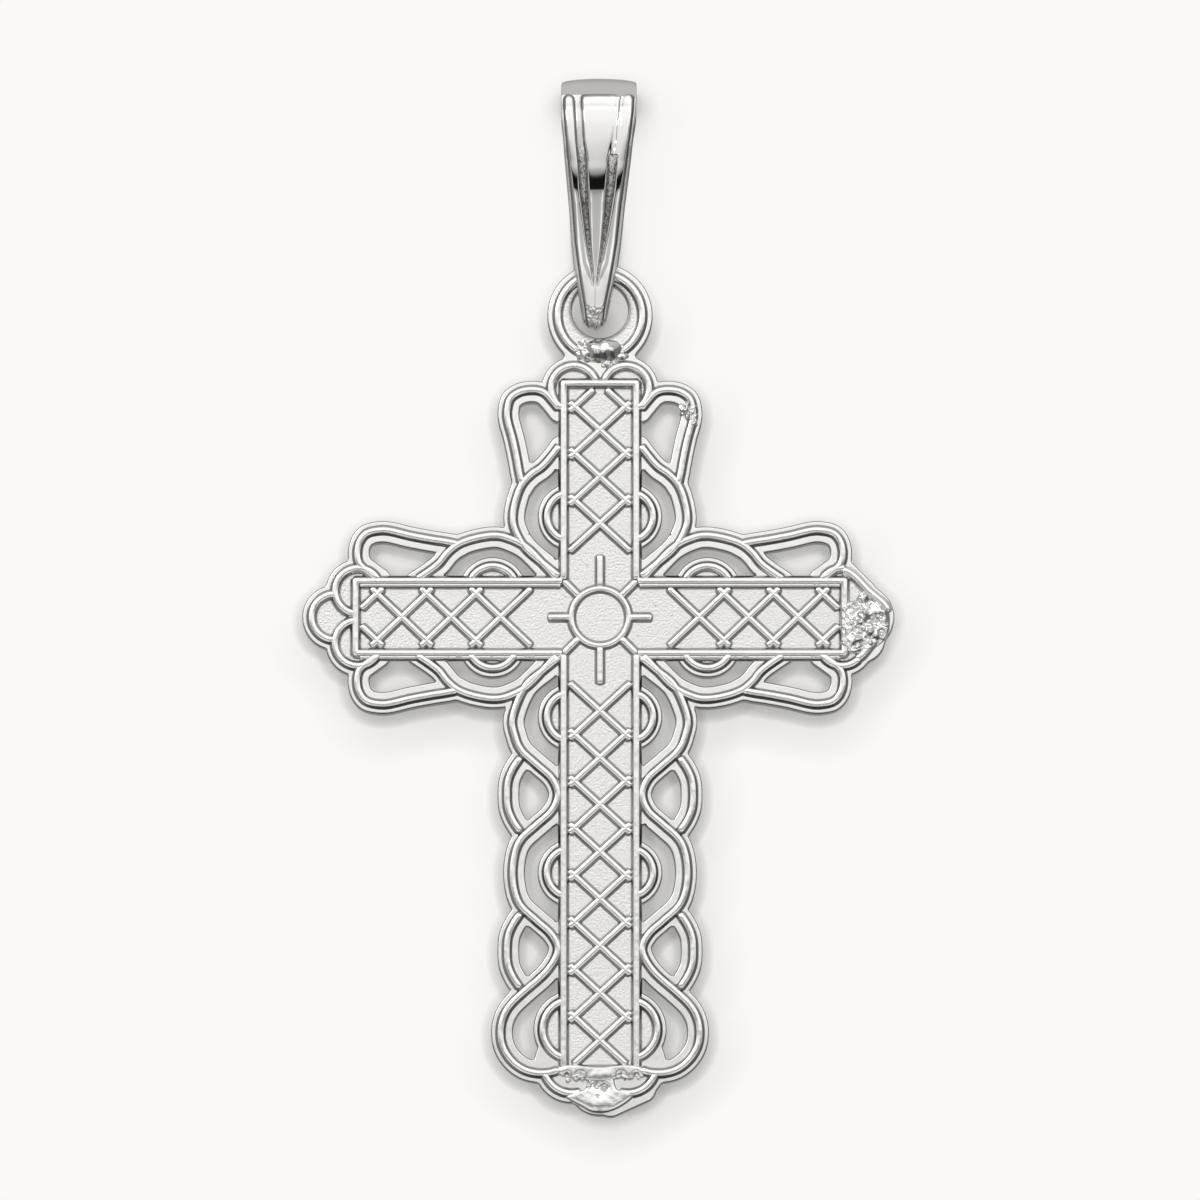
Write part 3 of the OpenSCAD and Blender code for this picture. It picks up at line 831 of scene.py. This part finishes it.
def lump(middle, radii, roughness, seed, short=0.1, long=0.4, square=2, undercut=0.0, rows=30):
    """A rounded lump: a ball, or a squarer one where the powers that add up to 1 are higher than 2,
    stretched to three radii, its surface moved in and out by ripples, and its lower half set back
    by a share of the depth below the middle."""
    columns = rows * 8 // 5
    down, turn = np.meshgrid(np.linspace(0, math.pi, rows),
                             np.linspace(0, 2 * math.pi, columns, endpoint=False), indexing="ij")
    way = np.stack([np.sin(down) * np.cos(turn), np.sin(down) * np.sin(turn), np.cos(down)], axis=-1)
    way = way.reshape(-1, 3)
    way = way / np.linalg.norm(way, ord=square, axis=1)[:, None]
    reach = 1 + roughness * ripples(way * radii, seed, short, long)
    spots = way * radii * reach[:, None]
    spots[:, 1] += undercut * np.maximum(-spots[:, 2], 0)
    return np.array(middle) + spots, net(rows, columns)


def crumbs(low, high, many, size, height, seed, rows=14):
    """Small crinkled lumps strewn by a seeded chance over a rectangle, at a height over the face."""
    chance = np.random.default_rng(seed)
    spots = chance.uniform(low, high, (many, 2))
    sizes = chance.uniform(0.6, 1.0, many) * size
    return [lump((x, FRONT - height, z), (1.2 * r, 0.8 * r, r), CRUMB_ROUGH, seed + k,
                 0.9 * r, 2.2 * r, rows=rows) for k, ((x, z), r) in enumerate(zip(spots, sizes))]


def solder_look(name, colour, roughness):
    """Melted bright metal: smooth skin with a fine crinkle."""
    look, tree, shader, place = metal_look(name, colour, roughness)
    skin = place_group(tree, HAND_POLISH, Place=place, Waves_per_mm=6.0, Scuffs_per_mm=22.0)
    add_bump(tree, shader, skin["Scuffs"], depth_mm=0.003)
    return look


solder = make_piece(
    "solder",
    [lump((0.1, SOLDER_Y, 7.68), (0.58, 0.36, 0.36), 0.13, 12, 0.25, 0.5, 2.4, 0.5, 48),
     lump((-0.46, SOLDER_Y, 7.68), (0.27, 0.22, 0.3), 0.22, 6, 0.12, 0.3, rows=40),
     lump((0.6, SOLDER_Y, 7.64), (0.18, 0.17, 0.24), 0.25, 9)]
    + crumbs((-0.1, 7.28), (0.5, 7.4), 9, 0.09, 0, 60)
    + crumbs((-0.68, 7.5), (-0.4, 7.85), 6, 0.07, 0.12, 80),
    solder_look("melted_solder", (0.88, 0.88, 0.87, 1), 0.06))
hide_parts("cross")


# Melted ends. The torch has run the right tip and the foot of the cross together: low puddles over
# the ends of the frame and scallops, crinkled and pitted where they stayed rough.
def puddle(outline, height, rough, spots, seed):
    """A low puddle on the near face over a closed smooth outline. Rings run from the middle to the
    outline; the height over them is a flat dome, the root of 1 less the 12th power of the share of
    the way out, moved by ripples and by round bumps or pits, each given as (x, z, radius, rise). It
    is closed below the plate's surface."""
    loop = smooth_stretches(*(np.roll(outline, k, axis=0) for k in (1, 0, -1, -2)), 10)
    share = np.linspace(0, 1, 44) ** 0.8
    middle = outline.mean(axis=0)
    flat = (middle + share[:, None, None] * (loop - middle)).reshape(-1, 2)
    dome = np.repeat(np.sqrt(1 - share ** 12), len(loop))
    raised = height + rough * ripples(np.column_stack([flat, 0 * dome]), seed, 0.12, 0.4)
    for x, z, radius, rise in spots:
        raised = raised + rise * np.exp(-((flat[:, 0] - x) ** 2 + (flat[:, 1] - z) ** 2) / radius ** 2)
    top = np.insert(flat, 1, FRONT - dome * raised, axis=1)
    skirt = np.insert(loop, 1, FRONT + 0.1, axis=1)
    floor = np.tile((middle[0], FRONT + 0.1, middle[1]), (len(loop), 1))
    return np.vstack([top, skirt, floor]), net(len(share) + 2, len(loop))


RIGHT_OUTLINE = np.array([
    (7.28, 0.5), (7.45, 0.72), (7.62, 0.78), (7.88, 0.6), (8.14, 0.4), (8.3, 0.1), (8.3, -0.3),
    (8.2, -0.6), (7.98, -0.82), (7.7, -0.98), (7.41, -1.05), (7.1, -1.02), (6.9, -0.9), (6.87, -0.5),
    (6.86, 0), (6.9, 0.32), (7.06, 0.5)])
RIGHT_SPOTS = (
    (7.42, -0.33, 0.06, -0.12), (7.72, 0.44, 0.13, -0.13), (7.85, -0.05, 0.11, -0.13),
    (8.06, -0.46, 0.08, -0.14), (7.93, -0.75, 0.12, -0.13), (7.38, 0.44, 0.1, -0.12),
    (7.48, -0.1, 0.12, 0.08), (7.55, 0.14, 0.1, 0.07), (7.75, -0.42, 0.1, 0.08),
    (7.35, -0.62, 0.12, 0.05), (8.12, 0.1, 0.1, 0.07), (7.62, 0.64, 0.07, 0.05))
FOOT_BAR = np.array([
    (-1.16, -12.88), (-0.85, -12.84), (-0.5, -12.88), (0, -12.93), (0.4, -12.88), (0.8, -12.85),
    (1.16, -12.88), (1.3, -13.02), (1.22, -13.17), (0.8, -13.22), (0.4, -13.3), (0, -13.36),
    (-0.4, -13.32), (-0.8, -13.24), (-1.15, -13.18), (-1.28, -13.03)])
BAR_SPOTS = ((-0.95, -13.16, 0.08, -0.07), (-0.55, -13.2, 0.1, -0.08), (0.6, -13.18, 0.1, -0.07),
             (1.05, -13.14, 0.08, -0.07), (0, -13.1, 0.3, 0.02))
FOOT_MASS = np.array([
    (-0.34, -13.05), (0, -13), (0.36, -13.05), (0.48, -13.5), (0.75, -13.6), (0.98, -13.68),
    (0.95, -13.8), (0.8, -13.94), (0.55, -14.1), (0.28, -14.21), (0, -14.25), (-0.3, -14.2),
    (-0.6, -14.03), (-0.84, -13.9), (-1, -13.78), (-0.8, -13.64), (-0.44, -13.5)])
MASS_SPOTS = ((-0.3, -13.4, 0.07, -0.12), (-0.1, -13.43, 0.07, -0.12), (0.12, -13.5, 0.08, -0.12),
              (-0.06, -13.77, 0.04, -0.03), (0, -13.95, 0.3, 0.03))
# Patches of crumbs, and strips of grit along the side arms, as (low corner, high corner, how many,
# size, height over the face, seed, rows)
PATCHES = (
    ((-1.08, -13.3), (-0.5, -13.14), 9, 0.085, 0.1, 100, 14),
    ((0.5, -13.24), (1.2, -13.14), 9, 0.07, 0.1, 120, 14),
    ((-0.34, -13.55), (0.16, -13.36), 9, 0.07, 0.09, 140, 14),
    ((7.2, -0.85), (7.75, 0.05), 12, 0.1, 0.09, 160, 14),
    ((7.9, -0.4), (8.2, 0.35), 5, 0.08, 0.09, 180, 14),
    ((-6.9, -1.19), (-1.3, -1.13), 36, 0.04, 0.085, 200, 8),
    ((1.3, -1.19), (6.9, -1.13), 36, 0.04, 0.085, 200, 8),
    ((5.4, 0.94), (7, 1), 14, 0.035, 0.095, 260, 8))
# Single grains on the field, and what is left of the rails on the right tip
GRAINS = ((-0.37, 1.49), (1.58, 0.34), (1.09, -0.52), (2.07, 0.06), (2.87, 0.17))
RIGHT_RIDGES = (
    np.array([(6.93, 1.38), (7.12, 1.29), (7.33, 1.13), (7.53, 0.92), (7.7, 0.74), (7.93, 0.55),
              (8.14, 0.36), (8.28, 0.12)]),
    np.array([(7.33, -1.24), (7.53, -1.08), (7.72, -0.84), (7.9, -0.62)]))
melted = [
    puddle(RIGHT_OUTLINE, 0.13, 0.035, RIGHT_SPOTS, 21), puddle(FOOT_BAR, 0.137, 0.002, BAR_SPOTS, 33),
    puddle(FOOT_MASS, 0.13, 0.002, MASS_SPOTS, 35),
    lump((2.5, FRONT - 0.06, 5.98), (0.2, 0.11, 0.22), 0.5, 41, 0.06, 0.2),
    lump((2.68, FRONT - 0.02, 5.68), (0.13, 0.1, 0.2), 0.5, 43, 0.06, 0.2)]
for patch in PATCHES:
    melted += crumbs(*patch)
melted += [lump((x, FIELD, z), (0.035, 0.02, 0.03), 0.4, 50) for x, z in GRAINS]
melted += both_faces([smooth_line(ridge, RAIL_STEP) for ridge in RIGHT_RIDGES])
melted_ends = make_piece(
    "melted_ends", melted, solder_look("melted_silver", (0.88, 0.876, 0.86, 1), 0.16))
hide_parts("cross")

# Bail. A ribbon of silver bent to a long drop and tapered to its foot. Its faces have three bright
# lobes raised from a duller ground, which shows as a band over the top, as two rough grooves that
# close towards the foot and as narrow slopes along both sides.
TOP_R, SEAT_R, FOOT_R, HINGE_Z = 1.45, 1.0, 0.74, -5.13
# How square the arc over the top is, and how finely it is turned
TOP_POWER, TOP_TURN = 2.4, 28
# The outer face below the seat, as (height, distance from the middle plane)
OUTER_FACE = np.array([
    (-1, 1.45), (-1.25, 1.4456), (-1.5, 1.4395), (-1.75, 1.4321), (-2, 1.4234), (-2.28, 1.4131),
    (-2.53, 1.3978), (-2.75, 1.379), (-2.93, 1.3594), (-3.3, 1.309), (-3.9, 1.2234),
    (-4.5, 1.1359), (-5.13, 1.0339), (-5.4, 0.957), (-5.7, 0.857), (-6, 0.735), (-6.2, 0.648),
    (-6.4, 0.56), (-6.57, 0.478), (-6.64, 0.36), (-6.68, 0.2), (-6.69, 0)])
# Along the height: half the width, half the width of the front between its side slopes, the place
# and width of the grooves, the width of the lobes' round edges, how much each lobe is bowed, and
# the painted shade over the upper part
HALF_WIDTH = np.array([
    (-6.69, 0.26), (-6.63, 0.31), (-6.5, 0.34), (-6, 0.43), (-5.6, 0.5), (-5.02, 0.61),
    (-4.16, 0.71), (-3, 0.81), (-1.56, 0.963), (-0.3, 1.075), (0.2, 1.085), (0.45, 1.06)])
FACE_EDGE = np.array([
    (-6.69, 0.19), (-6.5, 0.25), (-6.22, 0.28), (-5.98, 0.33), (-5.46, 0.43), (-4.33, 0.6),
    (-3.2, 0.71), (-1.756, 0.875), (-0.6, 1.0), (0.45, 1.03)])
GROOVE_AT = np.array([
    (-5.7, 0.05), (-5.3, 0.08), (-5.07, 0.1), (-4.27, 0.22), (-3.42, 0.32), (-2.8, 0.38),
    (-2, 0.43), (-1.43, 0.51), (-0.58, 0.575), (0.45, 0.66)])
GROOVE_WIDTH = np.array([
    (-5.7, 0), (-5.3, 0.01), (-4.62, 0.03), (-4.27, 0.05), (-3.42, 0.09), (-2.8, 0.16),
    (-2, 0.2), (-1.43, 0.18), (-0.45, 0.18), (0.45, 0.18)])
ROUND_OVER = np.array([(-4.8, 0.06), (-3.6, 0.12), (-3.2, 0.14), (-2.2, 0.08)])
BOW = np.array([(-4, 0.14), (-2.3, 0.09)])
UPPER_SHADE = np.array([(-2.75, 0), (-2.25, 0.36), (-1.6, 0.36), (-1.1, 0.22), (-0.6, 0.2), (-0.35, 0)])
ROWS_APART, FACE_COLUMNS, BACK_COLUMNS, LOBES_TOP = 0.036, 97, 13, -0.04
SIDE_CORNER, MIDDLE_CORNER, LOBE_RISE, SLOPE_FALL = 0.165, 0.12, 0.08, 0.36
# The bail lies LEFT of the middle at the origin's height, and leans by LEAN for each mm
LEFT, LEAN = -0.0337, 0.0185


def by_height(table, z):
    """A charted value at a height, read off straight between its points."""
    return np.interp(z, table[:, 0], table[:, 1])


def ramp(value, start, length):
    """0 up to the start, then rising straight to 1 over the length."""
    return np.clip((value - start) / length, 0, 1)


def drop_pair():
    """The outer and inner lines of the ribbon seen from the side, from the top down its near half
    to the tip, as (distance from the middle plane, height): a slightly squared arc over the seat
    (its two shares raised to TOP_POWER add up to 1), the charted face, and inside it the seat's
    arc, a straight run and the foot's arc."""
    turn = np.radians(np.arange(90, 0, -ROWS_APART / TOP_R * TOP_TURN))
    round_arc = np.column_stack([np.cos(turn), np.sin(turn)])
    face = smooth_line(OUTER_FACE[:, ::-1], ROWS_APART)
    height = face[:, 1]
    above = height > HINGE_Z
    side = SEAT_R + (-SEAT_R - height) * (FOOT_R - SEAT_R) / (-SEAT_R - HINGE_Z)
    low = (HINGE_Z - height) / (HINGE_Z - height.min()) * (math.pi / 2)
    inner = np.where(above[:, None], np.column_stack([side, height]),
                     np.column_stack([FOOT_R * np.cos(low), HINGE_Z - FOOT_R * np.sin(low)]))
    return (np.vstack([round_arc ** (2 / TOP_POWER) * TOP_R - (0, SEAT_R), face]),
            np.vstack([round_arc * SEAT_R - (0, SEAT_R), inner]))


def rounded_rise(depth, edge):
    """A quarter round: 0 outside a lobe's edge, rising steeply and then flattening to 1 within."""
    share = np.clip(depth / edge, 0, 1)
    return np.sqrt(1 - (1 - share) ** 2)


def round_cornered(from_side, from_end, radius):
    """Depth inside a strip with rounded corners: measured from the nearer of its side and end, and
    from a quarter circle where both are nearer than the corner's radius."""
    side, end = radius - from_side, radius - from_end
    beyond = np.hypot(np.maximum(side, 0), np.maximum(end, 0))
    return radius - beyond - np.minimum(np.maximum(side, end), 0)


def bail_half():
    """Points of the near half as rows from the top to the tip, each row going across the outer face
    and back across the inner one. The outer line is moved along its normal by a level: the ground
    lies deeper than the three lobes, each lobe has round edges and a bow across it, the slopes at
    the sides fall away, and the top is crowned. With masks for the rough places, the dull ground
    and the painted shade in the grooves, round the lobes and over the upper part."""
    outer, inner = drop_pair()
    run = length_along(outer)
    ahead = np.gradient(outer, axis=0)
    ahead /= np.hypot(*ahead.T)[:, None]
    out = np.column_stack([-ahead[:, 1], ahead[:, 0]])
    z = outer[:, 1:]
    share = np.linspace(-1, 1, FACE_COLUMNS)[None]
    x = by_height(HALF_WIDTH, z) * share
    groove, width, edge = (by_height(table, z) for table in (GROOVE_AT, GROOVE_WIDTH, FACE_EDGE))
    from_top = run[:, None] - run[np.argmax(outer[:, 1] < LOBES_TOP)]
    away = np.abs(x)
    # Depth inside the lobes, which join above the tip and, where worn, across the right groove
    side_lobe = round_cornered(
        np.minimum(away - groove - width / 2, edge - away), from_top, SIDE_CORNER)
    lobe = np.maximum(side_lobe, round_cornered(groove - width / 2 - away, from_top, MIDDLE_CORNER))
    joined = ramp(-z, 4.9, 0.7)
    worn = 0.9 * ramp(z, -2.15, 0.3) * ramp(x, 0.2, 0.2)
    filled = np.maximum(joined, worn * ramp(from_top, 0, 0.08))
    round_over = by_height(ROUND_OVER, z)
    rise = rounded_rise(lobe, round_over)
    rise = rise + filled * np.maximum(rounded_rise(edge - away, round_over) - rise, 0)
    bow = np.where(away < groove, (away / 0.7) ** 2, ((away - (groove + edge) / 2) / 0.45) ** 2)
    bow = (bow + joined * (0.8 * (away / 0.55) ** 1.2 - bow)) * by_height(BOW, z)
    # A fine shallow line round each lobe, wider at its top and fainter where the groove is narrow;
    # its colour is painted shade
    inside = np.interp(from_top, (0.08, 0.2), (0.03, 0.006))
    spread = np.interp(from_top, (0.08, 0.2), (0.05, 0.03))
    outline = np.exp(-((lobe - inside) / spread) ** 2) * (1 - filled * (away < edge - 0.1))
    faint = np.where(away < edge - 0.1, np.clip(width / 0.1, 0.3, 1), 1)
    outline = outline * np.maximum(faint, 1 - ramp(from_top, 0.05, 0.1))
    # Grit in the grooves and on the tip
    dull = 1 - np.clip(rise * 2, 0, 1)
    low = ramp(-z, 1.6, 0.3)
    grooves = dull * (away < groove + width) * low
    rough = np.clip(grooves + ramp(-z, 6.1, 0.12) * (away < 0.26), 0, 1)
    flat_place = np.stack([x, np.zeros_like(x), np.broadcast_to(run[:, None], x.shape)], axis=-1)
    grit = ripples(flat_place.reshape(-1, 3), 71, 0.07, 0.22).reshape(x.shape)
    sunk, crown = ramp(from_top, -0.36, 0.3), ramp(-from_top, 0, 1.1)
    level = -LOBE_RISE * sunk * (1 - rise) - SLOPE_FALL * np.maximum(away - edge, 0) - bow * rise * sunk
    level += 0.03 * grit * rough - 0.02 * (1 - rise) * low - 0.02 * outline
    level += crown ** 2 * (0.08 - 0.07 * share ** 2 - 0.05 * share ** 8)
    level += 0.07 * (1 - ramp(from_top, 0, 0.38)) ** 2 - 0.046 * ramp(-from_top, 0, 0.3)
    lean = LEFT + LEAN * z
    face = np.stack([x + lean, -(outer[:, :1] + out[:, :1] * level), z + out[:, 1:] * level], axis=-1)
    back_z = inner[:, 1:]
    back_x = by_height(HALF_WIDTH, np.maximum(back_z, z)) * np.linspace(1, -1, BACK_COLUMNS)[None]
    back = np.stack([back_x + lean, np.broadcast_to(-inner[:, :1], back_x.shape),
                     np.broadcast_to(back_z, back_x.shape)], axis=-1)
    # Painted shade along the lobes' edges, in the grooves and over the upper part
    painted_shade = np.clip(np.maximum(outline + 0.62 * grooves, by_height(UPPER_SHADE, z)), 0, 1)
    masks = {"rough": rough, "dull": dull, "painted_shade": painted_shade}
    none = np.zeros((len(outer), BACK_COLUMNS))
    return np.concatenate([face, back], axis=1), {k: np.hstack([v, none]) for k, v in masks.items()}


# Bright silver of the bail, and the painted shade on it
BAIL_SILVER, BAIL_PAINTED_SHADE = (0.9, 0.892, 0.86, 1), (0.24, 0.238, 0.23, 1)
# Roughness of the mirror finish, what dull ground adds to it and what grit takes off
MIRROR_ROUGH, DULL_ADDS, GRIT_ADDS = 0.045, 0.22, -0.1


def bail_look():
    """Mirror-bright lobes, dull ground, gritty grooves and tip, and painted shade in the grooves, round
    the lobes and over the upper part, by three masks.
    """
    look, tree, shader, place = metal_look("bright_bail", BAIL_SILVER, MIRROR_ROUGH)
    dull, rough = read_mask(tree, "dull"), read_mask(tree, "rough")
    darken(tree, shader, read_mask(tree, "painted_shade"), BAIL_PAINTED_SHADE)
    polish = place_group(tree, HAND_POLISH, Place=place, Waves_per_mm=1.2)
    grain = place_group(tree, MATT_GRAIN, Place=place, Grains_per_mm=13.0)
    roughen(tree, shader, (dull, DULL_ADDS), (rough, GRIT_ADDS))
    waves = add_bump(tree, shader, polish["Height"], depth_mm=0.002)
    grains = calculate(tree, "MULTIPLY", grain["Height"], rough)
    add_bump(tree, shader, grains, depth_mm=0.05, under=waves)
    return look


near, near_masks = bail_half()
far = near[-2:0:-1] * (1, -1, 1)
points = np.concatenate([near, far])
masks = {name: np.concatenate([mask, mask[-2:0:-1]]).ravel() for name, mask in near_masks.items()}
bail = make_piece("fluted_bail", [(points.reshape(-1, 3), net(len(points), points.shape[1], True))],
                  bail_look(), "bail", masks)
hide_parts("bail")
